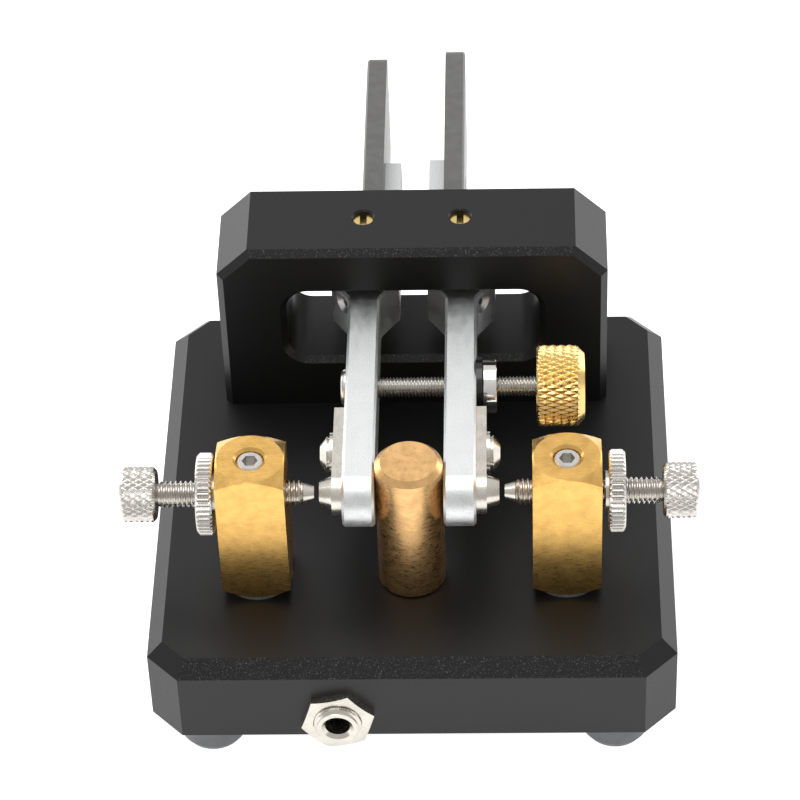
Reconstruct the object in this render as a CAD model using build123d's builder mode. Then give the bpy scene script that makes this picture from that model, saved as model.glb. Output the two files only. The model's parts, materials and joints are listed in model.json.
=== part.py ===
from build123d import *
import os

# Dual-lever morse paddle key: base, bridge, two pivoted levers, contact screws and a magnet return.
# Millimetres, +Z up. The origin is on the surface that the key stands on, at the middle of its bounding box.
# The contact screws run along X, the levers along Y, with the finger plates at the +Y end.

os.makedirs("parts", exist_ok=True)

# ---------------------------------------------------------------- driving dimensions
# base
base_side = 76.0
base_thickness = 14.0
base_corner = 4.6
base_bevel = 2.25
foot_height = 4.0
foot_radius = 5.0
foot_step = 0.9
foot_x, foot_y = 29.2, 33.0

# bridge and its window
bridge_width = 58.0
bridge_depth = 15.2
bridge_height = 30.4
bridge_corner = 4.75
bridge_bevel = 1.0
window_width = 37.8
window_low, window_high = 9.2, 22.1
window_corner = 3.2
window_bevel = 0.9

# posts
post_side = 9.8
post_height = 23.2
post_x = 22.4
washer_radius, washer_thickness = 4.95, 0.5
countersink, set_screw_sink = 0.4, 0.35
post_tap_depth = 10.0
centre_post_radius = 4.85
centre_post_height = 23.0

# levers
lever_inner, lever_outer = 4.9, 9.5
lever_height = 8.4
boss_inner, boss_outer = 2.15, 12.25
blade_outer = 4.6
finger_outer = 7.7
finger_height = 20.0
plate_outer = 11.0
plate_height = 6.3

# screw sizes: major radii, and the running gap of a thread in its nut
m2, m25, m3, m4 = 1.0, 1.25, 1.5, 2.0
gap = 0.03
running_gap = 0.05

# contact screws
contact_gap = 0.75
rivet_face, rivet_shank = 12.8, 1.0
tip_length = 1.5
screw_end = rivet_face + contact_gap + tip_length
head_inner, head_outer = 36.05, 41.05
head_radius = 4.0
wheel_radius, wheel_width = 5.9, 2.35
wheel_boss_radius, wheel_boss = 2.9, 0.45
right_wheel_slack = 0.55

# tension screw, magnets and knob
rod_end = 24.5
seat_outer, magnet_outer = 10.4, 12.5
knob_inner, knob_outer = 18.3, 25.3
knob_radius = 6.0
knob_magnet_radius, knob_magnet_width = 4.0, 2.4
rod_clearance = 2.1
rod_head_radius, rod_head_height = 2.75, 0.85

# jack
jack_x, jack_z = -10.75, foot_height + 3.75
jack_bore = 1.8
bushing_radius = 3.475
bay_width, bay_height = 10.2, 9.4
front_wall = 3.5
jack_body_width, jack_body_height, jack_body_length = 8.4, 5.4, 11.0
nut_flats, nut_thickness, nut_turn = 9.4, 1.3, -17.0
mouth_chamfer = 0.5

# ---------------------------------------------------------------- places worked out from them
# distances along Y are from the middle of the base until base_y moves them to the origin
finger_reach = 71.0
jack_reach = 40.2
base_y = -(finger_reach - jack_reach) / 2

base_bottom = foot_height
base_top = base_bottom + base_thickness
bridge_top = base_top + bridge_height
axis_z = base_top + 16.8
lever_low, lever_top = axis_z - lever_height / 2, axis_z + lever_height / 2

bridge_front = base_y + 16.75
bridge_mid = bridge_front + bridge_depth / 2
base_front = base_y - base_side / 2
post_y = base_y - 19.5
plate_screw_y = base_y - 11.7
plate_back = base_y - 5.2
rod_y = base_y + 2.3
pivot_x = (lever_inner + lever_outer) / 2
pivot_y = base_y + 24.8
lever_front = base_y - 24.6
boss_front, boss_back = pivot_y - 3.5, pivot_y + 3.5
taper_length = 4.0
shoulder_y = base_y + 33.8
finger_length = 35.2
bridge_screw_x = 23.0

channel_top = base_bottom + 8.0
channel_half = 4.7
channel_reach = 26.7
cover_thickness = 1.0
bay_x = (jack_x - bay_width / 2, jack_x + bay_width / 2)
bay_front = base_front + front_wall
bay_back = post_y + channel_half

sides = {"left": -1, "right": 1}
# the right blade is a little longer and its finger plate is mounted a little further out
blade_ends = {-1: base_y + 48.5, 1: base_y + 49.15}
finger_ends = {-1: base_y + finger_reach - 1.7, 1: base_y + finger_reach}
finger_screw_steps = [3.9, 10.9]


# ---------------------------------------------------------------- helpers
def outward(side, x, y, z=axis_z):
    """A place whose own Z axis points away from the middle, along X."""
    return Location((side * x, y, z), (0, side * 90, 0))


def upright(x, y, z):
    """A place whose own Z axis points up."""
    return Location((x, y, z))


def forward(x, y, z):
    """A place whose own Z axis points to the jack side, along -Y."""
    return Location((x, y, z), (90, 0, 0))


def rod(place, radius, length, mode=Mode.ADD):
    """A cylinder that starts at a place and runs along its Z axis."""
    with Locations(place):
        Cylinder(radius, length, align=(Align.CENTER, Align.CENTER, Align.MIN), mode=mode)


def cone(place, start_radius, end_radius, length, mode=Mode.ADD):
    """A cone that starts at a place and runs along its Z axis."""
    with Locations(place):
        Cone(start_radius, end_radius, length, align=(Align.CENTER, Align.CENTER, Align.MIN), mode=mode)


def block(low, high, mode=Mode.ADD):
    """A box between two corners."""
    size = [b - a for a, b in zip(low, high)]
    with Locations(upright(*low)):
        Box(*size, align=(Align.MIN, Align.MIN, Align.MIN), mode=mode)


def hex_socket(place, across_flats, depth):
    """A blind hexagon pocket that goes into a face against the place's Z axis."""
    with BuildSketch(Plane(place)) as pocket:
        RegularPolygon(across_flats / 2, 6, major_radius=False)
    extrude(pocket.sketch, amount=-depth, mode=Mode.SUBTRACT)


def save(part, name):
    """Label one finished piece and write it."""
    part.label = name
    export_step(part, f"parts/{name}.step")


# ---------------------------------------------------------------- base
cover_screws_at = [(-29.0, post_y), (29.0, post_y), (-1.6, post_y - 10.0)]
cover_half, cover_ledge = 31.5, 2.6
cover_tongue_x = (bay_x[0] - 2.2, 0.6)
cover_tongue_y = (bay_front + 0.2, bay_front + 9.0)
cover_tap_depth = 6.0
sleeve_radius, flange_radius = 3.0, 4.2
counterbore_radius, counterbore_depth = 3.8, 4.6


def cover_outline(inset):
    """The bottom cover's T shape: a bar along the cross channel and a tongue under the jack."""
    with Locations((0, post_y)):
        Rectangle(2 * (cover_half - inset), 2 * (channel_half + cover_ledge - inset))
    with Locations((sum(cover_tongue_x) / 2, sum(cover_tongue_y) / 2)):
        Rectangle(cover_tongue_x[1] - cover_tongue_x[0] - 2 * inset,
                  cover_tongue_y[1] - cover_tongue_y[0] - 2 * inset)


with BuildPart() as base_plate:
    with BuildSketch(Plane.XY.offset(base_bottom)):
        with Locations((0, base_y)):
            Rectangle(base_side, base_side)
        chamfer(vertices(), base_corner)
    extrude(amount=base_thickness)
    chamfer(faces().sort_by(Axis.Z)[-1].edges(), base_bevel)
    # recess for the cover, cross channel under the posts, and the jack's bay
    with BuildSketch(Plane.XY.offset(base_bottom)):
        cover_outline(0)
    extrude(amount=cover_thickness, mode=Mode.SUBTRACT)
    block((-channel_reach, post_y - channel_half, base_bottom),
          (channel_reach, post_y + channel_half, channel_top), Mode.SUBTRACT)
    block((bay_x[0], bay_front, base_bottom), (bay_x[1], bay_back, base_bottom + bay_height), Mode.SUBTRACT)
    rod(forward(jack_x, bay_front, jack_z), bushing_radius + gap, front_wall, Mode.SUBTRACT)
    for x in (-post_x, post_x):
        rod(upright(x, post_y, base_bottom), sleeve_radius + gap, base_thickness, Mode.SUBTRACT)
    rod(upright(0, post_y, base_bottom), m3 + 0.1, base_thickness, Mode.SUBTRACT)
    for x in (-bridge_screw_x, bridge_screw_x):
        rod(upright(x, bridge_mid, base_bottom), m4 + 0.15, base_thickness, Mode.SUBTRACT)
        rod(upright(x, bridge_mid, base_bottom), counterbore_radius, counterbore_depth, Mode.SUBTRACT)
    for x, y in cover_screws_at:
        rod(upright(x, y, base_bottom), m2 + gap, cover_tap_depth, Mode.SUBTRACT)
save(base_plate.part, "base_plate")

cover_head_radius, cover_head_height = 1.85, 0.75
cover_screw_low = base_bottom + 0.05

with BuildPart() as bottom_cover:
    with BuildSketch(Plane.XY.offset(base_bottom)):
        cover_outline(0.1)
    extrude(amount=cover_thickness - 0.02)
    for x, y in cover_screws_at:
        rod(upright(x, y, base_bottom), m2 + 0.1, cover_thickness, Mode.SUBTRACT)
        cone(upright(x, y, base_bottom), cover_head_radius + 0.1, m2 + 0.1, cover_head_height + 0.1,
             Mode.SUBTRACT)
save(bottom_cover.part, "bottom_cover")

with BuildPart() as cover_screws:
    for x, y in cover_screws_at:
        cone(upright(x, y, cover_screw_low), cover_head_radius, m2, cover_head_height)
        rod(upright(x, y, cover_screw_low + cover_head_height), m2, cover_tap_depth - 1.4)
        block((x - 1.3, y - 0.2, base_bottom), (x + 1.3, y + 0.2, cover_screw_low + 0.4), Mode.SUBTRACT)
save(cover_screws.part, "cover_screws")

with BuildPart() as rubber_feet:
    for x in (-foot_x, foot_x):
        for y in (base_y - foot_y, base_y + foot_y):
            rod(upright(x, y, 0), foot_radius - 0.6, foot_step)
            rod(upright(x, y, foot_step), foot_radius, foot_height - foot_step)
    wide_rims = edges().filter_by(GeomType.CIRCLE).filter_by(lambda e: e.radius > foot_radius - 0.1)
    fillet(wide_rims.filter_by_position(Axis.Z, foot_step - 0.1, foot_step + 0.1), 0.5)
    fillet(edges().filter_by(GeomType.CIRCLE).filter_by_position(Axis.Z, -0.1, 0.1), 0.4)
save(rubber_feet.part, "rubber_feet")

# ---------------------------------------------------------------- bridge and pivots
bridge_plane = Plane.XZ.offset(-bridge_front)
bridge_head_radius, bridge_head_height, bridge_screw_length = 3.5, 4.0, 19.5
bridge_screw_low = base_bottom + 0.5
bridge_tap_depth = bridge_head_height + bridge_screw_length - base_thickness + 1.0
window_mid = base_top + (window_low + window_high) / 2
window_floor = base_top + window_low
window_roof = base_top + window_high

with BuildPart() as bridge:
    with BuildSketch(bridge_plane):
        with Locations((0, base_top + bridge_height / 2)):
            Rectangle(bridge_width, bridge_height)
        chamfer(vertices().group_by(Axis.Y)[-1], bridge_corner)
    extrude(amount=-bridge_depth)
    ends = faces().filter_by(Axis.Y)
    outline = ends.edges().filter_by(lambda e: e.center().Z > base_top + 0.01)
    chamfer(outline, bridge_bevel)
    with BuildSketch(bridge_plane):
        with Locations((0, window_mid)):
            RectangleRounded(window_width, window_high - window_low, window_corner)
    extrude(amount=-bridge_depth, mode=Mode.SUBTRACT)
    rims = faces().filter_by(Axis.Y).edges()
    inside = rims.filter_by(lambda e: abs(e.center().X) < window_width / 2 + 0.1
                            and window_floor - 0.1 < e.center().Z < window_roof + 0.1)
    chamfer(inside, window_bevel)
    for x in (-pivot_x, pivot_x):
        rod(upright(x, pivot_y, window_roof - 1), m3 + gap, bridge_top - window_roof + 2, Mode.SUBTRACT)
        cone(upright(x, pivot_y, bridge_top - 0.25), m3 + gap, m3 + 0.28, 0.26, Mode.SUBTRACT)
        rod(upright(x, pivot_y, base_top + 1.2), m3 + gap, window_low, Mode.SUBTRACT)
    for x in (-bridge_screw_x, bridge_screw_x):
        rod(upright(x, bridge_mid, base_top), m4 + gap, bridge_tap_depth, Mode.SUBTRACT)
save(bridge.part, "bridge")

with BuildPart() as bridge_screws:
    for x in (-bridge_screw_x, bridge_screw_x):
        rod(upright(x, bridge_mid, bridge_screw_low), bridge_head_radius, bridge_head_height)
        rod(upright(x, bridge_mid, bridge_screw_low + bridge_head_height), m4, bridge_screw_length)
        hex_socket(Location((x, bridge_mid, bridge_screw_low), (180, 0, 0)), 3.0, 2.0)
save(bridge_screws.part, "bridge_screws")

bush_radius, bush_bore, bush_length = 2.5, 1.0, 2.8
journal = bush_bore - 0.04
pivot_screw_top = bridge_top - 0.7
slot_half_width, slot_depth = 0.52, 0.8

with BuildPart() as pivot_screws:
    for x in (-pivot_x, pivot_x):
        rod(upright(x, pivot_y, lever_top + 0.3), m3, pivot_screw_top - lever_top - 0.3)
        rod(upright(x, pivot_y, lever_top - 2.2), journal, 2.6)
        block((x - slot_half_width, pivot_y - 2, pivot_screw_top - slot_depth),
              (x + slot_half_width, pivot_y + 2, bridge_top), Mode.SUBTRACT)
save(pivot_screws.part, "pivot_screws")

with BuildPart() as lower_pivots:
    for x in (-pivot_x, pivot_x):
        rod(upright(x, pivot_y, base_top + 1.3), m3, window_low - 1.3)
        rod(upright(x, pivot_y, window_floor), 2.2, lever_low - 0.2 - window_floor)
        rod(upright(x, pivot_y, lever_low - 0.2), journal, 2.4)
save(lower_pivots.part, "lower_pivots")

# ---------------------------------------------------------------- posts
post_bottom = base_top + washer_thickness
post_top = post_bottom + post_height
turned_radius = 4.75
turned_slope = 1.45


def square_post(side):
    """A square post whose ends are turned to a cone, with cross, top and bottom threads."""
    x = side * post_x
    with BuildSketch(Plane.XY.offset(post_bottom)) as section:
        with Locations((x, post_y)):
            Rectangle(post_side, post_side)
    extrude(section.sketch, amount=post_height)
    half_diagonal = post_side / 2 * 2 ** 0.5
    with BuildSketch(Plane.XZ.offset(-post_y)) as turning:
        with BuildLine():
            Polyline((x, post_bottom), (x + turned_radius, post_bottom),
                     (x + half_diagonal, post_bottom + turned_slope),
                     (x + half_diagonal, post_top - turned_slope),
                     (x + turned_radius, post_top), (x, post_top), close=True)
        make_face()
    revolve(turning.sketch, axis=Axis((x, post_y, 0), (0, 0, 1)), mode=Mode.INTERSECT)
    rod(outward(side, post_x - post_side, post_y), m4 + running_gap, 2 * post_side, Mode.SUBTRACT)
    rod(upright(x, post_y, axis_z), m4 + gap, post_top - axis_z, Mode.SUBTRACT)
    cone(upright(x, post_y, post_top - countersink), m4 + gap, m4 + countersink, countersink + 0.01,
         Mode.SUBTRACT)
    rod(upright(x, post_y, post_bottom), m3 + gap, post_tap_depth, Mode.SUBTRACT)


for name, side in sides.items():
    with BuildPart() as contact_post:
        square_post(side)
    save(contact_post.part, f"{name}_post")

with BuildPart() as centre_post:
    rod(upright(0, post_y, base_top), centre_post_radius, centre_post_height)
    chamfer(edges().filter_by(GeomType.CIRCLE).group_by(Axis.Z)[-1], 0.8)
    chamfer(edges().filter_by(GeomType.CIRCLE).group_by(Axis.Z)[0], 0.3)
    rod(upright(0, post_y, base_top), m3 + gap, post_tap_depth, Mode.SUBTRACT)
save(centre_post.part, "centre_post")

with BuildPart() as post_washers:
    for x in (-post_x, post_x):
        rod(upright(x, post_y, base_top), washer_radius, washer_thickness)
        rod(upright(x, post_y, base_top), m3 + 0.1, washer_thickness, Mode.SUBTRACT)
save(post_washers.part, "post_washers")

bush_flange = 1.0
lug_radius, lug_half_width, lug_thickness, lug_reach = 3.0, 0.9, 0.5, 6.6
head_radius_m3, head_height = 2.8, 2.4

with BuildPart() as shoulder_bushes:
    for x in (-post_x, post_x):
        rod(upright(x, post_y, channel_top - bush_flange), flange_radius, bush_flange)
        rod(upright(x, post_y, channel_top), sleeve_radius, base_top - channel_top)
        rod(upright(x, post_y, channel_top - bush_flange), m3 + 0.1, base_thickness, Mode.SUBTRACT)
save(shoulder_bushes.part, "shoulder_bushes")

lug_tops = {-post_x: channel_top - bush_flange, 0: channel_top, post_x: channel_top - bush_flange}

with BuildPart() as solder_lugs:
    for x, top in lug_tops.items():
        toward_jack = 1 if x < jack_x else -1
        low = top - lug_thickness
        rod(upright(x, post_y, low), lug_radius, lug_thickness)
        ends_x = sorted((x, x + toward_jack * lug_reach))
        block((ends_x[0], post_y - lug_half_width, low), (ends_x[1], post_y + lug_half_width, top))
        rod(upright(x, post_y, low), m3 + 0.1, lug_thickness, Mode.SUBTRACT)
save(solder_lugs.part, "solder_lugs")

with BuildPart() as post_screws:
    for x, top in lug_tops.items():
        head_top = top - lug_thickness
        rod(upright(x, post_y, head_top - head_height), head_radius_m3, head_height)
        rod(upright(x, post_y, head_top), m3, base_top + post_tap_depth - 2.0 - head_top)
        hex_socket(Location((x, post_y, head_top - head_height), (180, 0, 0)), 2.5, 1.3)
save(post_screws.part, "post_screws")

with BuildPart() as post_set_screws:
    for x in (-post_x, post_x):
        low = axis_z + m4 + 0.1
        rod(upright(x, post_y, low), m4, post_top - set_screw_sink - low)
    chamfer(edges().filter_by(GeomType.CIRCLE).group_by(Axis.Z)[-1], 0.3)
    for x in (-post_x, post_x):
        hex_socket(upright(x, post_y, post_top - set_screw_sink), 2.0, 1.4)
save(post_set_screws.part, "post_set_screws")

# ---------------------------------------------------------------- contact screws and lock wheels
insert_radius, insert_length = 0.8, 3.0

for name, side in sides.items():
    with BuildPart() as contact_screw:
        rod(outward(side, screw_end, post_y), m4, head_inner - screw_end)
        rod(outward(side, head_inner, post_y), head_radius, head_outer - head_inner)
        rims = edges().filter_by(GeomType.CIRCLE).filter_by(lambda e: e.radius > head_radius - 0.1)
        chamfer(rims, 0.45)
        rod(outward(side, screw_end, post_y), insert_radius + running_gap, insert_length + 0.1, Mode.SUBTRACT)
    save(contact_screw.part, f"{name}_contact_screw")

    with BuildPart() as contact_tip:
        cone(outward(side, screw_end - tip_length, post_y), 1.0, 1.5, tip_length - 0.02)
        rod(outward(side, screw_end - 0.1, post_y), insert_radius, insert_length)
    save(contact_tip.part, f"{name}_contact_tip")

    slack = running_gap if side < 0 else right_wheel_slack
    wheel_start = post_x + post_side / 2 + slack
    with BuildPart() as lock_wheel:
        rod(outward(side, wheel_start, post_y), wheel_boss_radius, wheel_boss + 0.5)
        rod(outward(side, wheel_start + wheel_boss, post_y), wheel_radius, wheel_width)
        rims = edges().filter_by(GeomType.CIRCLE).filter_by(lambda e: e.radius > wheel_radius - 0.1)
        chamfer(rims, 0.35)
        rod(outward(side, wheel_start, post_y), m4 + running_gap, wheel_boss + wheel_width, Mode.SUBTRACT)
    save(lock_wheel.part, f"{name}_lock_wheel")

# ---------------------------------------------------------------- levers
flat_washer_radius, flat_washer = 3.2, 0.5
spring_washer_radius, spring_washer = 2.45, 0.3
spring_washer_start = plate_outer + flat_washer + 0.02
plate_head_start = spring_washer_start + spring_washer + 0.02
plate_head_radius, plate_head_top, plate_head_rim, plate_head_height = 2.6, 1.35, 0.15, 1.1
finger_crown, finger_corner, finger_edge = 0.6, 2.5, 0.3
clamp_along, clamp_raise = 0.36, 1.7
clamp_sink, clamp_depth, clamp_countersink = 0.5, 3.2, 0.57


def lever_plan(side):
    """The lever from above: bar, pivot boss with slanted shoulders, and the thin blade behind it."""
    rear = boss_back + taper_length
    tail_outer = finger_outer + 0.2
    blade_end = blade_ends[side]
    points = [(lever_inner, lever_front), (lever_outer, lever_front),
              (lever_outer, boss_front - taper_length), (boss_outer, boss_front), (boss_outer, boss_back),
              (tail_outer, rear), (tail_outer, shoulder_y), (blade_outer, shoulder_y),
              (blade_outer, blade_end), (boss_inner, blade_end), (boss_inner, boss_front),
              (lever_inner, boss_front - taper_length)]
    with BuildLine() as outline:
        Polyline([(side * x, y) for x, y in points], close=True)
    make_face(outline.edges())
    junctions = vertices().filter_by(lambda v: abs(v.Y - (boss_front - taper_length)) < 0.01)
    shoulders = vertices().filter_by(lambda v: abs(v.Y - boss_front) < 0.01)
    fillet(junctions, 1.6)
    fillet(shoulders, 1.0)


def lever_arm(side):
    """One aluminium lever with its bores."""
    with BuildSketch(Plane.XY.offset(lever_low)) as from_above:
        lever_plan(side)
    extrude(from_above.sketch, amount=lever_height)
    # the contact end is a full round seen from the side
    nose_low = (lever_front + lever_height / 2, lever_low)
    nose_top = (lever_front + lever_height / 2, lever_top)
    past_end = blade_ends[side] + 1
    with BuildSketch(Plane.YZ) as from_side:
        with BuildLine():
            ThreePointArc(nose_low, (lever_front, axis_z), nose_top)
            Polyline(nose_top, (past_end, lever_top), (past_end, lever_low), nose_low)
        make_face()
    extrude(from_side.sketch, amount=side * 20, mode=Mode.INTERSECT)
    long_edges = edges().filter_by(Axis.Y).filter_by(lambda e: e.length > 15 and e.center().Y < bridge_front)
    chamfer(long_edges, 0.35)
    rod(upright(side * pivot_x, pivot_y, lever_low), bush_radius + 0.01, lever_height, Mode.SUBTRACT)
    rod_hole = m3 + gap if side < 0 else rod_clearance
    rod(outward(side, 0, rod_y), rod_hole, lever_outer + 1, Mode.SUBTRACT)
    rod(outward(side, lever_outer - 4, plate_screw_y), m25 + gap, 5, Mode.SUBTRACT)
    rod(outward(side, lever_outer - 1.5, post_y), rivet_shank + gap, 2.5, Mode.SUBTRACT)
    for y in finger_screws_at(side):
        rod(outward(side, 0, y), m25 + gap, blade_outer + 1, Mode.SUBTRACT)
    rod(clamp_place(side), m2 + gap, clamp_depth + 0.3, Mode.SUBTRACT)
    cone(clamp_place(side), m2 + gap + clamp_countersink, m2 + gap, clamp_countersink, Mode.SUBTRACT)


def clamp_place(side):
    """On the slanted outer face of the boss, with Z pointing into the boss."""
    x = lever_outer + clamp_along * (boss_outer - lever_outer)
    y = boss_front - (1 - clamp_along) * taper_length
    inward = Vector(-side, (boss_outer - lever_outer) / taper_length, 0)
    return Plane(origin=(side * x, y, axis_z + clamp_raise), z_dir=inward).location


def finger_screws_at(side):
    """How far along Y the two screws of a finger plate are."""
    return [finger_ends[side] - finger_length + step for step in finger_screw_steps]


for name, side in sides.items():
    with BuildPart() as arm:
        lever_arm(side)
    save(arm.part, f"{name}_arm")

    with BuildPart() as pivot_bushes:
        for low in (lever_low, lever_top - bush_length):
            rod(upright(side * pivot_x, pivot_y, low), bush_radius, bush_length)
            rod(upright(side * pivot_x, pivot_y, low), bush_bore, bush_length, Mode.SUBTRACT)
    save(pivot_bushes.part, f"{name}_pivot_bushes")

    with BuildPart() as clamp_screw:
        rod(clamp_place(side) * Location((0, 0, clamp_sink)), m2, clamp_depth - clamp_sink)
        chamfer(edges().filter_by(GeomType.CIRCLE).sort_by(Axis.X)[-1 if side > 0 else 0], 0.15)
        hex_socket(clamp_place(side) * Location((0, 0, clamp_sink), (180, 0, 0)), 0.9, 0.6)
    save(clamp_screw.part, f"{name}_clamp_screw")

    with BuildPart() as contact_plate:
        with BuildSketch(Plane.YZ.offset(side * lever_outer)):
            with Locations((post_y, axis_z)):
                Circle(plate_height / 2)
            with Locations(((post_y + plate_back) / 2, axis_z)):
                Rectangle(plate_back - post_y, plate_height)
        extrude(amount=side * (plate_outer - lever_outer))
        rod(outward(side, lever_outer - 1, post_y), rivet_shank + gap, 4, Mode.SUBTRACT)
        rod(outward(side, lever_outer - 1, plate_screw_y), m25 + 0.15, 4, Mode.SUBTRACT)
    save(contact_plate.part, f"{name}_contact_plate")

    with BuildPart() as contact_rivet:
        cone(outward(side, plate_outer, post_y), 2.4, 1.75, rivet_face - plate_outer)
        rod(outward(side, lever_outer - 1.3, post_y), rivet_shank, plate_outer - lever_outer + 1.4)
    save(contact_rivet.part, f"{name}_contact_rivet")

    with BuildPart() as plate_washers:
        rod(outward(side, plate_outer, plate_screw_y), flat_washer_radius, flat_washer)
        rod(outward(side, plate_outer, plate_screw_y), m25 + 0.1, flat_washer, Mode.SUBTRACT)
        # split spring washer
        rod(outward(side, spring_washer_start, plate_screw_y), spring_washer_radius, spring_washer)
        rod(outward(side, spring_washer_start, plate_screw_y), m25 + 0.1, spring_washer, Mode.SUBTRACT)
        with Locations(outward(side, spring_washer_start + spring_washer / 2, plate_screw_y)):
            with Locations((0, 2.0, 0)):
                Box(0.4, 3.0, spring_washer, mode=Mode.SUBTRACT)
    save(plate_washers.part, f"{name}_plate_washers")

    with BuildPart() as plate_screw:
        rod(outward(side, lever_outer - 3.8, plate_screw_y), m25, plate_head_start - lever_outer + 3.9)
        rod(outward(side, plate_head_start, plate_screw_y), plate_head_radius, plate_head_rim)
        cone(outward(side, plate_head_start + plate_head_rim, plate_screw_y), plate_head_radius,
             plate_head_top, plate_head_height - plate_head_rim)
        hex_socket(outward(side, plate_head_start + plate_head_height, plate_screw_y), 1.5, 0.7)
    save(plate_screw.part, f"{name}_plate_screw")

    far, finger_top = finger_ends[side], axis_z + finger_height / 2
    near = far - finger_length
    with BuildPart() as finger_plate:
        with BuildSketch(Plane.YZ.offset(side * blade_outer)):
            with BuildLine():
                near_low, near_top = (near, axis_z - finger_height / 2), (near, finger_top - finger_crown)
                far_low, far_top = (far, axis_z - finger_height / 2), (far, finger_top - finger_crown)
                ThreePointArc(near_top, ((near + far) / 2, finger_top), far_top)
                Polyline(far_top, far_low, near_low, near_top)
            make_face()
        extrude(amount=side * (finger_outer - blade_outer))
        fillet(edges().filter_by(Axis.X).group_by(Axis.Y)[-1], finger_corner)
        outside = faces().sort_by(Axis.X)[-1 if side > 0 else 0]
        chamfer(outside.edges(), finger_edge)
        for y in finger_screws_at(side):
            rod(outward(side, 0, y), m25 + 0.15, finger_outer + 1, Mode.SUBTRACT)
            cone(outward(side, finger_outer - 1.2, y), m25 + 0.15, 2.5, 1.25, Mode.SUBTRACT)
    save(finger_plate.part, f"{name}_finger_plate")

    with BuildPart() as finger_screws:
        for y in finger_screws_at(side):
            rod(outward(side, boss_inner + 0.2, y), m25, finger_outer - 1.3 - boss_inner)
            cone(outward(side, finger_outer - 1.2, y), m25, 2.35, 1.1)
            hex_socket(outward(side, finger_outer - 0.1, y), 1.5, 0.8)
    save(finger_screws.part, f"{name}_finger_screws")

# ---------------------------------------------------------------- tension screw, magnets and knob
with BuildPart() as tension_screw:
    rod(outward(1, -lever_outer, rod_y), m3, lever_outer + rod_end)
    rod(outward(-1, lever_outer, rod_y), rod_head_radius, rod_head_height)
    fillet(edges().filter_by(GeomType.CIRCLE).sort_by(Axis.X)[0], 0.6)
    hex_socket(outward(-1, lever_outer + rod_head_height, rod_y), 1.8, 0.6)
save(tension_screw.part, "tension_screw")

with BuildPart() as magnet_seat:
    rod(outward(1, lever_outer, rod_y), 4.3, seat_outer - lever_outer)
    rod(outward(1, lever_outer, rod_y), rod_clearance, seat_outer - lever_outer, Mode.SUBTRACT)
save(magnet_seat.part, "magnet_seat")

with BuildPart() as ring_magnet:
    rod(outward(1, seat_outer, rod_y), 3.9, magnet_outer - seat_outer)
    fillet(edges().filter_by(GeomType.CIRCLE), 0.2)
    rod(outward(1, seat_outer, rod_y), rod_clearance, magnet_outer - seat_outer, Mode.SUBTRACT)
save(ring_magnet.part, "ring_magnet")

with BuildPart() as knob_magnet:
    rod(outward(1, knob_inner + 0.1, rod_y), knob_magnet_radius, knob_magnet_width)
    rod(outward(1, knob_inner, rod_y), m3 + 0.3, knob_magnet_width + 0.2, Mode.SUBTRACT)
save(knob_magnet.part, "knob_magnet")

with BuildPart() as tension_knob:
    rod(outward(1, knob_inner, rod_y), knob_radius, knob_outer - knob_inner)
    knob_rims = edges().filter_by(GeomType.CIRCLE).sort_by(Axis.X)
    chamfer(knob_rims[-1], 1.2)
    chamfer(knob_rims[0], 0.45)
    rod(outward(1, knob_inner, rod_y), knob_magnet_radius + running_gap, knob_magnet_width + 0.2,
        Mode.SUBTRACT)
    rod(outward(1, knob_inner, rod_y), m3 + running_gap, knob_outer - knob_inner, Mode.SUBTRACT)
save(tension_knob.part, "tension_knob")

# ---------------------------------------------------------------- jack and wiring
body_front = bay_front + 0.1
body_back = body_front + jack_body_length
strip_end = body_back + 1.8
strip_start = body_back - 7.0
strip_offset = 2.15
strip_thickness = 0.4
strip_width = 1.8


def strip(side_step, height_step, mode, grow=0.0):
    """One spring contact beside the bore: above it, below it or to its right."""
    across = strip_width / 2 + grow
    thin = strip_thickness / 2 + grow
    half = (thin, across) if side_step else (across, thin)
    x, z = jack_x + side_step * strip_offset, jack_z + height_step * strip_offset
    block((x - half[0], strip_start - grow, z - half[1]), (x + half[0], strip_end, z + half[1]), mode)


strip_steps = [(0, 1), (0, -1), (1, 0)]

with BuildPart() as jack_body:
    block((jack_x - jack_body_width / 2, body_front, jack_z - jack_body_height / 2),
          (jack_x + jack_body_width / 2, body_back, jack_z + jack_body_height / 2))
    rod(forward(jack_x, body_back - 2.0, jack_z), jack_bore + 0.2, jack_body_length, Mode.SUBTRACT)
    for step in strip_steps:
        strip(*step, Mode.SUBTRACT, 0.02)
save(jack_body.part, "jack_body")

with BuildPart() as jack_contacts:
    for step in strip_steps:
        strip(*step, Mode.ADD)
save(jack_contacts.part, "jack_contacts")

mouth = base_y - jack_reach
bushing_length = body_front - mouth

with BuildPart() as jack_bushing:
    rod(forward(jack_x, body_front, jack_z), bushing_radius, bushing_length)
    chamfer(edges().filter_by(GeomType.CIRCLE).sort_by(Axis.Y)[0], 0.35)
    rod(forward(jack_x, body_front, jack_z), jack_bore, bushing_length, Mode.SUBTRACT)
    cone(forward(jack_x, mouth + mouth_chamfer, jack_z), jack_bore, jack_bore + mouth_chamfer,
         mouth_chamfer + 0.01, Mode.SUBTRACT)
save(jack_bushing.part, "jack_bushing")

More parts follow.
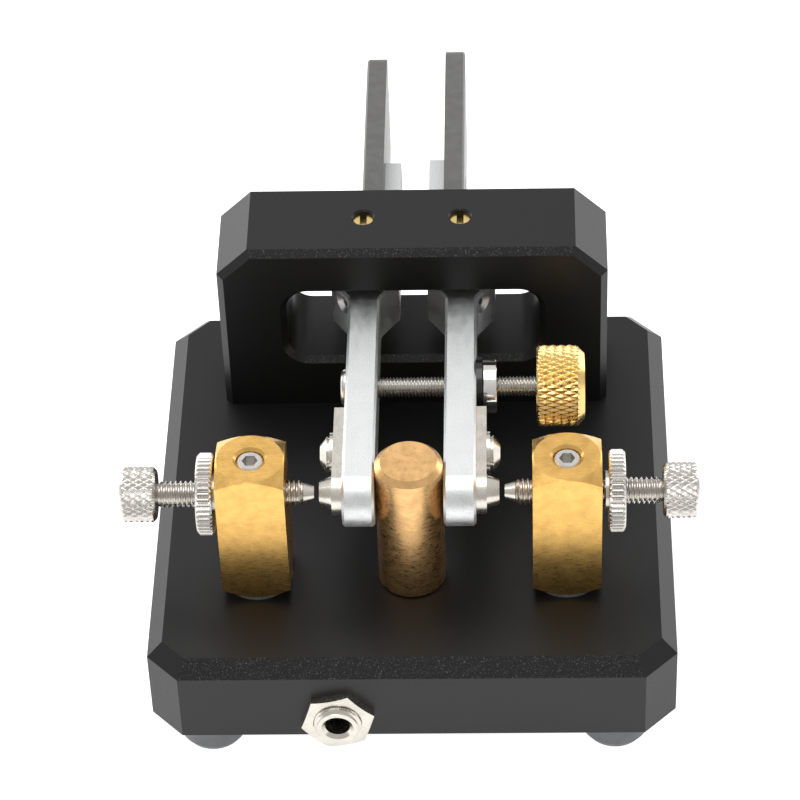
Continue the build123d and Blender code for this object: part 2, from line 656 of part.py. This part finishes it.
with BuildPart() as jack_nut:
    with BuildSketch(Plane.XZ.offset(-base_front)):
        with Locations(Location((jack_x, jack_z, 0), nut_turn)):
            RegularPolygon(nut_flats / 2, 6, major_radius=False, rotation=30)
    extrude(amount=nut_thickness)
    # turned outer face: a cone rounds the six corners
    past_corners = jack_z + nut_flats / 2 + 1.1
    with BuildSketch(Plane.YZ.offset(jack_x)):
        with BuildLine():
            Polyline((base_front, jack_z), (base_front, past_corners),
                     (base_front - nut_thickness + 0.45, past_corners),
                     (base_front - nut_thickness, jack_z + nut_flats / 2 - 0.1),
                     (base_front - nut_thickness, jack_z), close=True)
        make_face()
    revolve(axis=Axis((jack_x, 0, jack_z), (0, 1, 0)), mode=Mode.INTERSECT)
    rod(forward(jack_x, base_front, jack_z), bushing_radius + gap, nut_thickness, Mode.SUBTRACT)
save(jack_nut.part, "jack_nut")

wire_radius = 0.5
side_lug_low = channel_top - bush_flange - lug_thickness
centre_lug_low = channel_top - lug_thickness
around_screws = post_y + head_radius_m3 + 0.95
# each wire: from under its lug's end to the end of its contact strip
wire_routes = [
    [(-post_x + 6.0, post_y, side_lug_low - wire_radius), (jack_x - 0.6, post_y + 0.6, side_lug_low - 0.2),
     (jack_x, post_y - 0.4, jack_z + strip_offset), (jack_x, strip_end, jack_z + strip_offset)],
    [(post_x - 6.0, post_y, side_lug_low - wire_radius), (10.0, around_screws, base_bottom + 4.4),
     (-7.0, around_screws, base_bottom + 3.8), (jack_x, post_y + 0.8, jack_z - strip_offset),
     (jack_x, strip_end, jack_z - strip_offset)],
    [(-lug_reach + 0.6, post_y, centre_lug_low - wire_radius), (jack_x + strip_offset, post_y + 0.3, jack_z),
     (jack_x + strip_offset, strip_end, jack_z)],
]

with BuildPart() as wires:
    for route in wire_routes:
        with BuildLine() as line:
            FilletPolyline(route, radius=0.7)
        with BuildSketch(Plane(origin=line.line @ 0, z_dir=line.line % 0)):
            Circle(wire_radius)
        sweep(path=line.line)
save(wires.part, "wires")
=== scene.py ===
import json
from math import cos, pi, radians, sin

import bpy
import numpy as np
from mathutils import Matrix, Vector


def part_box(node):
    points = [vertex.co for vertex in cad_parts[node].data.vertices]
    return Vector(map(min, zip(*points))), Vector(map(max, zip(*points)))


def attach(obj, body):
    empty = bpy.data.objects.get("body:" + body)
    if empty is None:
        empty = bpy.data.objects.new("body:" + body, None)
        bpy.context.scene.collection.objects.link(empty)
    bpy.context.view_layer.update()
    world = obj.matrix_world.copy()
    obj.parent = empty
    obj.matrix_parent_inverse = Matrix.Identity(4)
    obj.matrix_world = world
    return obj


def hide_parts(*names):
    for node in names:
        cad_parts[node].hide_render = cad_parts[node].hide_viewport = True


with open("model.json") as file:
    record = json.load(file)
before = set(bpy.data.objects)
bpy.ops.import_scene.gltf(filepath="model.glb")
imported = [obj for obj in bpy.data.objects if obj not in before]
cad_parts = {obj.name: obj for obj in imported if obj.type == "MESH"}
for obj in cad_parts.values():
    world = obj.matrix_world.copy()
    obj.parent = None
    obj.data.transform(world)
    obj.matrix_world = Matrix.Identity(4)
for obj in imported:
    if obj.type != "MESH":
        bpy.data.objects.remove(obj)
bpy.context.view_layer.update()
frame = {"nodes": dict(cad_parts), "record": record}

MM = 0.001
X, Y, Z = Vector((1, 0, 0)), Vector((0, 1, 0)), Vector((0, 0, 1))
scene = bpy.context.scene


# ---------------------------------------------------------------- materials
def shader(name):
    """A new material, its node tree and its Principled shader."""
    material = bpy.data.materials.new(name)
    material.use_nodes = True
    tree = material.node_tree
    tree.nodes.clear()
    output = tree.nodes.new("ShaderNodeOutputMaterial")
    surface = tree.nodes.new("ShaderNodeBsdfPrincipled")
    tree.links.new(surface.outputs[0], output.inputs["Surface"])
    return material, tree, surface


def noise(tree, per_mm, detail=3.0, roughness=0.55):
    """Noise with so many features per millimetre along X, Y and Z, fixed to the piece."""
    place = tree.nodes.new("ShaderNodeTexCoord")
    mapping = tree.nodes.new("ShaderNodeMapping")
    mapping.inputs["Scale"].default_value = [n / MM for n in per_mm]
    texture = tree.nodes.new("ShaderNodeTexNoise")
    texture.inputs["Scale"].default_value = 1.0
    texture.inputs["Detail"].default_value = detail
    texture.inputs["Roughness"].default_value = roughness
    tree.links.new(place.outputs["Object"], mapping.inputs["Vector"])
    tree.links.new(mapping.outputs["Vector"], texture.inputs["Vector"])
    return texture


def colours(tree, texture, stops, socket):
    """A colour ramp from a texture into a socket. Stops are (place, (r, g, b))."""
    ramp = tree.nodes.new("ShaderNodeValToRGB")
    points = ramp.color_ramp.elements
    while len(points) < len(stops):
        points.new(0.5)
    for point, (place, colour) in zip(points, stops):
        point.position = place
        point.color = (*colour, 1)
    tree.links.new(texture.outputs["Fac"], ramp.inputs["Fac"])
    tree.links.new(ramp.outputs["Color"], socket)


def between(tree, texture, low, high, socket):
    """A texture's middle range spread from low to high into a socket."""
    spread = tree.nodes.new("ShaderNodeMapRange")
    spread.inputs["From Min"].default_value = 0.3
    spread.inputs["From Max"].default_value = 0.7
    spread.inputs["To Min"].default_value = low
    spread.inputs["To Max"].default_value = high
    tree.links.new(texture.outputs["Fac"], spread.inputs["Value"])
    tree.links.new(spread.outputs["Result"], socket)


def relief(tree, texture, height_mm, surface, under=None):
    """A texture as a fine height on the surface, over another relief if one is given."""
    bump = tree.nodes.new("ShaderNodeBump")
    bump.inputs["Distance"].default_value = height_mm * MM
    tree.links.new(texture.outputs["Fac"], bump.inputs["Height"])
    if under:
        tree.links.new(under.outputs["Normal"], bump.inputs["Normal"])
    tree.links.new(bump.outputs["Normal"], surface.inputs["Normal"])
    return bump


def scaled(colour, factor):
    """A colour made darker or lighter by a factor."""
    return [c * factor for c in colour]


def metal(name, colour, roughness, marks, marks_height, tarnish=0.86):
    """A worn metal: slight tarnish in patches, tool marks stretched along their direction, and fine pits."""
    material, tree, surface = shader(name)
    surface.inputs["Metallic"].default_value = 1.0
    patches = noise(tree, (0.5, 0.5, 0.5), detail=5)
    colours(tree, patches, [(0.32, scaled(colour, tarnish)), (0.62, colour)], surface.inputs["Base Color"])
    tool_marks = noise(tree, marks, detail=4, roughness=0.7)
    between(tree, tool_marks, *roughness, surface.inputs["Roughness"])
    pits = relief(tree, noise(tree, (3, 3, 3), detail=2), marks_height * 0.6, surface)
    relief(tree, tool_marks, marks_height, surface, pits)
    return material


def black_anodised():
    """Bead-blasted aluminium under black anodising: pale specks, and painted sparkle that adds to them where
    the surface turns up and toward the front, so they are thickest on the sloping front edges.
    """
    material, tree, surface = shader("black_anodised")
    surface.inputs["Specular IOR Level"].default_value = 0.36
    grain = noise(tree, (4.5, 4.5, 4.5), detail=3, roughness=0.7)
    specks = noise(tree, (4.4, 4.4, 4.4), detail=6, roughness=0.85)
    # Painted sparkle: the closer the surface turns toward up and front, the thicker the pale specks, standing
    # in for glints of light on the sloping front edges.
    facing = tree.nodes.new("ShaderNodeNewGeometry")
    toward_front_and_up = tree.nodes.new("ShaderNodeVectorMath")
    toward_front_and_up.operation = "DOT_PRODUCT"
    toward_front_and_up.inputs[1].default_value = (-Y + Z).normalized()
    painted_sparkle = tree.nodes.new("ShaderNodeMapRange")
    painted_sparkle.inputs["From Min"].default_value = 0.96
    painted_sparkle.inputs["From Max"].default_value = 0.99
    painted_sparkle.inputs["To Min"].default_value = 1.0
    painted_sparkle.inputs["To Max"].default_value = 1.23
    specks_with_sparkle = tree.nodes.new("ShaderNodeMapRange")
    specks_with_sparkle.clamp = False
    ramp = tree.nodes.new("ShaderNodeValToRGB")
    dye, speck = ramp.color_ramp.elements
    dye.position, dye.color = 0.70, (0.0045, 0.0045, 0.0048, 1)
    speck.position, speck.color = 0.84, (0.30, 0.30, 0.29, 1)
    tree.links.new(facing.outputs["Normal"], toward_front_and_up.inputs[0])
    tree.links.new(toward_front_and_up.outputs["Value"], painted_sparkle.inputs["Value"])
    tree.links.new(specks.outputs["Fac"], specks_with_sparkle.inputs["Value"])
    tree.links.new(painted_sparkle.outputs["Result"], specks_with_sparkle.inputs["To Max"])
    tree.links.new(specks_with_sparkle.outputs["Result"], ramp.inputs["Fac"])
    tree.links.new(ramp.outputs["Color"], surface.inputs["Base Color"])
    between(tree, grain, 0.34, 0.46, surface.inputs["Roughness"])
    relief(tree, grain, 0.010, surface)
    return material


def blasted_aluminium():
    """Bare bead-blasted aluminium, darker in the low pits of its grain."""
    material, tree, surface = shader("lever_aluminium")
    surface.inputs["Metallic"].default_value = 1.0
    grain = noise(tree, (5, 5, 5), detail=4, roughness=0.8)
    colours(tree, grain, [(0.30, (0.46, 0.46, 0.455)), (0.50, (0.73, 0.74, 0.74))],
            surface.inputs["Base Color"])
    between(tree, noise(tree, (0.8, 0.4, 0.8)), 0.38, 0.52, surface.inputs["Roughness"])
    relief(tree, grain, 0.010, surface)
    return material


def plastic(name, colour, roughness, grain_height, per_mm=3.0):
    """A moulded plastic or rubber: fine grain, uneven gloss and a slight change of tone."""
    material, tree, surface = shader(name)
    tone = noise(tree, (0.6, 0.6, 0.6), detail=4)
    colours(tree, tone, [(0.35, colour), (0.7, scaled(colour, 1.25))], surface.inputs["Base Color"])
    grain = noise(tree, (per_mm, per_mm, per_mm), detail=3)
    between(tree, grain, *roughness, surface.inputs["Roughness"])
    relief(tree, grain, grain_height, surface)
    return material


def clear_insulator():
    """A clear plastic washer with faint scuffs."""
    material, tree, surface = shader("clear_insulator")
    surface.inputs["Transmission Weight"].default_value = 0.85
    surface.inputs["IOR"].default_value = 1.49
    scuffs = noise(tree, (1, 1, 6), detail=4)
    colours(tree, scuffs, [(0.3, (0.80, 0.83, 0.83)), (0.7, (0.93, 0.94, 0.94))],
            surface.inputs["Base Color"])
    between(tree, scuffs, 0.08, 0.25, surface.inputs["Roughness"])
    relief(tree, scuffs, 0.002, surface)
    return material


# Each metal: its colour, its least and most roughness, its tool marks per millimetre along X, Y and Z,
# and their height in millimetres. A fifth value is the factor for its tarnished patches, if not the usual.
METALS = {
    "steel_screw": ((0.66, 0.64, 0.60), (0.18, 0.34), (9, 0.6, 0.6), 0.0008),
    "small_brass": ((0.86, 0.63, 0.26), (0.16, 0.30), (3, 3, 9), 0.002),
    "post_brass": ((0.83, 0.50, 0.15), (0.22, 0.36), (0.6, 5, 5), 0.0005, 0.80),
    "rose_brass": ((0.84, 0.51, 0.22), (0.20, 0.40), (0.9, 0.9, 4), 0.0011, 0.78),
    "knob_brass": ((0.87, 0.60, 0.23), (0.18, 0.32), (8, 0.5, 0.5), 0.0015),
    "tinned_metal": ((0.70, 0.68, 0.64), (0.25, 0.45), (2, 2, 2), 0.003),
    "nickel": ((0.66, 0.625, 0.56), (0.18, 0.32), (3, 3, 3), 0.002),
    "plate_nickel": ((0.68, 0.64, 0.575), (0.20, 0.36), (6, 0.5, 6), 0.0015),
    "knurled_nickel": ((0.64, 0.61, 0.57), (0.18, 0.32), (8, 0.5, 0.5), 0.0015),
    "magnet_nickel": ((0.80, 0.78, 0.74), (0.05, 0.14), (1, 1, 1), 0.0008),
}

# Each plastic or rubber: its colour, its least and most roughness, and its grain's height in millimetres.
# A fourth value is the grain's features per millimetre, if not the usual.
PLASTICS = {
    "black_cover": ((0.012, 0.012, 0.012), (0.5, 0.65), 0.006),
    "foot_rubber": ((0.085, 0.089, 0.094), (0.28, 0.42), 0.004),
    "black_plastic": ((0.010, 0.010, 0.010), (0.35, 0.5), 0.004),
    "seat_plastic": ((0.009, 0.009, 0.009), (0.10, 0.2), 0.001),
    "finger_plastic": ((0.10, 0.099, 0.096), (0.28, 0.40), 0.003, 4.0),
    "wire_sleeve": ((0.35, 0.03, 0.03), (0.4, 0.55), 0.003),
}


def make_materials():
    """One material for each slot of the record."""
    made = {name: metal(name, *finish) for name, finish in METALS.items()}
    made |= {name: plastic(name, *finish) for name, finish in PLASTICS.items()}
    made["black_anodised"] = black_anodised()
    made["lever_aluminium"] = blasted_aluminium()
    made["clear_insulator"] = clear_insulator()
    return made


def paint(obj, slot):
    """Give a piece the finish of a slot of the record."""
    obj.data.materials.clear()
    obj.data.materials.append(materials[slot])


# ---------------------------------------------------------------- turned pieces, in millimetres
SHARPEST_SMOOTH_EDGE = radians(24)


def turned(name, start, direction, rings, sides, hollow=False):
    """A turned piece from rings of (distance along its axis, radius).

    Either number of a ring may be an array over the sides. A hollow piece's last ring joins its first,
    and a solid piece is closed by a flat face at each end.
    """
    across = direction.orthogonal().normalized()
    up = direction.cross(across)
    angle = np.arange(sides) * 2 * pi / sides
    spokes = np.outer(np.cos(angle), across) + np.outer(np.sin(angle), up)
    points = []
    for along, radius in rings:
        along, radius = np.broadcast_to(along, sides), np.broadcast_to(radius, sides)
        ring = np.outer(along, direction) + spokes * radius[:, None]
        points.append(np.array(start) + ring * MM)
    step = np.arange(sides)
    following = (step + 1) % sides
    faces = []
    for i in range(len(rings) if hollow else len(rings) - 1):
        a, b = i * sides, (i + 1) % len(rings) * sides
        faces += np.stack([a + step, a + following, b + following, b + step], 1).tolist()
    if not hollow:
        faces += [step[::-1].tolist(), ((len(rings) - 1) * sides + step).tolist()]
    mesh = bpy.data.meshes.new(name)
    mesh.from_pydata(np.concatenate(points).tolist(), [], faces)
    mesh.shade_smooth()
    mesh.set_sharp_from_angle(angle=SHARPEST_SMOOTH_EDGE)
    obj = bpy.data.objects.new(name, mesh)
    scene.collection.objects.link(obj)
    return obj


def wave(phase):
    """A triangle wave: 0 at whole numbers, 1 halfway between them."""
    return 1 - np.abs(2 * np.mod(phase, 1) - 1)


RINGS_PER_PITCH = 8
THREAD_FLAT = 0.15
END_BELOW_ROOT = 0.15


def thread(start, end, pitch, major, minor, sides, runout=0.6):
    """The rings of a right-hand thread between two distances, with a chamfered start and end."""
    turn = np.arange(sides) / sides
    rings = []
    for along in np.arange(start, end, pitch / RINGS_PER_PITCH):
        flank = np.clip((wave(along / pitch - turn) - THREAD_FLAT) / (1 - 2 * THREAD_FLAT), 0, 1)
        from_end = min(along - start, end - along)
        limit = minor - END_BELOW_ROOT + from_end * (major - minor + END_BELOW_ROOT) / runout
        rings.append((along, np.minimum(minor + (major - minor) * flank, limit)))
    return rings


def knurled_rings(start, end, radius, chamfers, pattern, step):
    """The rings of a knurled grip: pattern(distance) cuts the radius, and each end is turned to a chamfer."""
    rings = []
    for along in np.linspace(start, end, int((end - start) / step) + 1):
        limit = radius - max(0, chamfers[0] - (along - start), chamfers[1] - (end - along))
        rings.append((along, np.minimum(radius - pattern(along), limit)))
    return rings


DIAMOND_GROOVE = 0.95
TOOTH_FLANK, TOOTH_VALLEY = 0.7, 0.2


def diamonds(count, length, depth, sides):
    """A diamond knurl: two crossing sets of helical grooves around a grip, each diamond of one length."""
    turn = np.arange(sides) / sides

    def cut(along):
        crossing = np.minimum(wave(count * turn + along / length), wave(count * turn - along / length))
        return depth * (1 - np.clip(crossing / DIAMOND_GROOVE, 0, 1))
    return cut


def straight_teeth(count, depth, sides):
    """A straight knurl: ridges along the axis with sloped flanks."""
    turn = np.arange(sides) / sides
    ridges = depth * (1 - np.clip(wave(count * turn) / TOOTH_FLANK - TOOTH_VALLEY, 0, 1))
    return lambda along: ridges


def on_axis(node, outward):
    """The point on a turned node's axis at its inner end, for a node that runs along X."""
    low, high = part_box(node)
    middle = (low + high) / 2
    return Vector((low.x if outward > 0 else high.x, middle.y, middle.z))


def length_mm(node):
    """A node's length along X in millimetres."""
    low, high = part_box(node)
    return (high.x - low.x) / MM


def hexagon(across_flats, sides):
    """The radius of a hexagon at each side of a turned piece."""
    angle = np.arange(sides) * 2 * pi / sides
    return across_flats / 2 / np.cos(np.mod(angle, pi / 3) - pi / 6)


def stand_for(obj, node, slot, body):
    """Finish a modelled piece: its material, what it replaces and the body that carries it."""
    paint(obj, slot)
    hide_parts(node)
    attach(obj, body)


# ---------------------------------------------------------------- the pieces, in millimetres
THREAD_SIDES = 72
M4_PITCH, M4_RADIUS, M4_ROOT = 0.7, 1.93, 1.54
M3_PITCH, M3_RADIUS, M3_ROOT = 0.5, 1.48, 1.19
JACK_PITCH, JACK_THREAD_DEPTH = 0.75, 0.42


def contact_screw(side, outward):
    """M4 screw with a diamond-knurled head, and a pocket for its contact tip."""
    node = f"{side}_contact_screw"
    head_length, head_radius, neck = 5.0, 4.0, 1.9
    pocket_depth, pocket_radius = 3.1, 0.85
    diamonds_around = 29
    sides = diamonds_around * 10
    total = length_mm(node)
    head = total - head_length
    knurl = diamonds(diamonds_around, 1.55, 0.24, sides)
    shank = thread(0, head, M4_PITCH, M4_RADIUS, M4_ROOT, sides // 2)
    shank = [(along, np.repeat(radius, 2)) for along, radius in shank]
    rings = [(pocket_depth, pocket_radius), (0, pocket_radius), *shank, (head, neck)]
    rings += knurled_rings(head, total, head_radius, (0.5, 0.55), knurl, 0.17)
    screw = turned(f"{side}_threaded_screw", on_axis(node, outward), X * outward, rings, sides)
    stand_for(screw, node, "knurled_nickel", f"{side}_screw")


def lock_wheel(side, outward):
    """Thin wheel with a straight knurl and a small boss against the post."""
    node = f"{side}_lock_wheel"
    bore, mouth, mouth_depth = 2.05, 2.5, 0.3
    boss_length, boss_radius = 0.45, 2.9
    teeth_around = 46
    sides = teeth_around * 8
    length = length_mm(node)
    radius = (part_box(node)[1].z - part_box(node)[0].z) / 2 / MM
    teeth = straight_teeth(teeth_around, 0.34, sides)
    boss = [(0, bore), (0, boss_radius), (boss_length, boss_radius)]
    rim = knurled_rings(boss_length, length, radius, (0.4, 0.4), teeth, 0.13)
    rings = [*boss, *rim, (length, mouth), (length - mouth_depth, bore)]
    wheel = turned(f"{side}_knurled_wheel", on_axis(node, outward), X * outward, rings, sides, hollow=True)
    stand_for(wheel, node, "knurled_nickel", f"{side}_wheel")


def tension_screw():
    """M3 rod from the left lever to the knob, with a low round head and a hexagon socket."""
    length = length_mm("tension_screw")
    head, head_radius, head_round, neck = 0.85, 2.75, 0.6, 1.5
    socket, socket_depth = hexagon(1.8, THREAD_SIDES), 0.6
    bend = np.linspace(pi / 2, 0, 6)
    dome = [(head * (1 - sin(a)), head_radius - head_round * (1 - cos(a))) for a in bend]
    rings = [(socket_depth, socket), (0, socket), *dome, (head, neck)]
    rings += thread(head, length, M3_PITCH, M3_RADIUS, M3_ROOT, THREAD_SIDES, 0.4)
    rod = turned("tension_rod", on_axis("tension_screw", 1), X, rings, THREAD_SIDES)
    stand_for(rod, "tension_screw", "steel_screw", "left_lever")


def tension_knob():
    """Diamond-knurled knob with a wide smooth chamfer, a seat for its magnet and a plain hole for the rod."""
    grip_radius, bore = 6.0, 1.55
    seat_depth, seat_radius = 2.6, 4.05
    mouth, mouth_depth = 2.3, 0.6
    diamonds_around = 40
    sides = diamonds_around * 8
    length = length_mm("tension_knob")
    knurl = diamonds(diamonds_around, 2.4, 0.34, sides)
    seat = [(seat_depth, bore), (seat_depth, seat_radius), (0, seat_radius)]
    grip = knurled_rings(0, length, grip_radius, (0.5, 1.2), knurl, 0.2)
    rings = [*seat, *grip, (length, mouth), (length - mouth_depth, bore)]
    knob = turned("knurled_knob", on_axis("tension_knob", 1), X, rings, sides, hollow=True)
    stand_for(knob, "tension_knob", "knob_brass", "knob")


def jack_bushing():
    """Threaded nickel collar of the jack, with a countersunk mouth."""
    bore, mouth, mouth_depth = 1.8, 2.3, 0.5
    front_chamfer = 0.5
    low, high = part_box("jack_bushing")
    middle = (low + high) / 2
    length, radius = (high.y - low.y) / MM, (high.x - low.x) / 2 / MM
    outside = thread(0, length, JACK_PITCH, radius, radius - JACK_THREAD_DEPTH, THREAD_SIDES, 0.45)
    front = [(length, radius - front_chamfer), (length, mouth), (length - mouth_depth, bore)]
    rings = [(0, bore), *outside, *front]
    start = Vector((middle.x, high.y, middle.z))
    collar = turned("threaded_collar", start, -Y, rings, THREAD_SIDES, hollow=True)
    stand_for(collar, "jack_bushing", "nickel", "base")


# ---------------------------------------------------------------- camera, light and floor
CAMERA_FROM_BASE = Vector((15.717, -385.127, 400.061)) * MM
CAMERA_PITCH = radians(43.486)
CAMERA_YAW = radians(-2.588)
CAMERA_ROLL = radians(-2.320)
LENS_MM = 163.52
LIT_POINT = (0, 0, 0.03)


def camera():
    """The camera above the jack side, placed from the middle of the base at floor level."""
    low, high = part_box("base_plate")
    base_middle = Vector(((low.x + high.x) / 2, (low.y + high.y) / 2, 0))
    ahead = Vector((sin(CAMERA_YAW) * cos(CAMERA_PITCH), cos(CAMERA_YAW) * cos(CAMERA_PITCH),
                    -sin(CAMERA_PITCH)))
    right = ahead.cross(Z).normalized()
    up = right.cross(ahead)
    turned_right = cos(CAMERA_ROLL) * right + sin(CAMERA_ROLL) * up
    turned_up = cos(CAMERA_ROLL) * up - sin(CAMERA_ROLL) * right
    eye = bpy.data.cameras.new("camera")
    eye.lens = LENS_MM
    eye.sensor_width = 36
    eye.clip_start, eye.clip_end = 0.01, 20
    obj = bpy.data.objects.new("camera", eye)
    axes = Matrix((turned_right, turned_up, -ahead)).transposed().to_4x4()
    obj.matrix_world = Matrix.Translation(base_middle + CAMERA_FROM_BASE) @ axes
    scene.collection.objects.link(obj)
    scene.camera = obj


def softbox(name, place, size, watts):
    """A rectangular light that faces the middle of the key."""
    light = bpy.data.lights.new(name, "AREA")
    light.shape = "RECTANGLE"
    light.size, light.size_y = size
    light.energy = watts
    obj = bpy.data.objects.new(name, light)
    obj.location = place
    obj.rotation_euler = (Vector(LIT_POINT) - Vector(place)).to_track_quat("-Z", "Y").to_euler()
    scene.collection.objects.link(obj)


def surroundings():
    """A pale room, brightest high up on the far side."""
    world = bpy.data.worlds.new("room")
    world.use_nodes = True
    scene.world = world
    tree = world.node_tree
    place = tree.nodes.new("ShaderNodeTexCoord")
    tilt = tree.nodes.new("ShaderNodeMapping")
    tilt.inputs["Rotation"].default_value = (radians(30), 0, 0)
    split = tree.nodes.new("ShaderNodeSeparateXYZ")
    spread = tree.nodes.new("ShaderNodeMapRange")
    spread.inputs["From Min"].default_value = -1.0
    ramp = tree.nodes.new("ShaderNodeValToRGB")
    low, high = ramp.color_ramp.elements
    low.position, low.color = 0.25, (0.50, 0.50, 0.50, 1)
    high.position, high.color = 0.95, (0.86, 0.86, 0.86, 1)
    background = tree.nodes["Background"]
    tree.links.new(place.outputs["Generated"], tilt.inputs["Vector"])
    tree.links.new(tilt.outputs["Vector"], split.inputs["Vector"])
    tree.links.new(split.outputs["Z"], spread.inputs["Value"])
    tree.links.new(spread.outputs["Result"], ramp.inputs["Fac"])
    tree.links.new(ramp.outputs["Color"], background.inputs["Color"])


def floor():
    """A plain white table, with its top where the feet stand."""
    half = 2.0
    mesh = bpy.data.meshes.new("floor")
    outline = [(-half, -half, 0), (half, -half, 0), (half, half, 0), (-half, half, 0)]
    mesh.from_pydata(outline, [], [(0, 1, 2, 3)])
    obj = bpy.data.objects.new("floor", mesh)
    scene.collection.objects.link(obj)
    material, tree, surface = shader("white_table")
    surface.inputs["Base Color"].default_value = (0.6, 0.6, 0.6, 1)
    surface.inputs["Roughness"].default_value = 0.9
    surface.inputs["Emission Color"].default_value = (1, 1, 1, 1)
    surface.inputs["Emission Strength"].default_value = 0.92
    mesh.materials.append(material)


# ---------------------------------------------------------------- build
materials = make_materials()
for piece in frame["record"]["subparts"]:
    paint(frame["nodes"][piece["node"]], piece["material_slot"])

for side, outward in (("left", -1), ("right", 1)):
    contact_screw(side, outward)
    lock_wheel(side, outward)
tension_screw()
tension_knob()
jack_bushing()

camera()
surroundings()
softbox("overhead", place=(-0.15, 0.10, 0.9), size=(0.7, 0.7), watts=4)
softbox("left_side", place=(-0.75, 0.60, 0.22), size=(0.5, 0.4), watts=1.9)
softbox("right_side", place=(0.75, 0.60, 0.22), size=(0.5, 0.4), watts=1.5)
floor()
scene.view_settings.view_transform = "Standard"
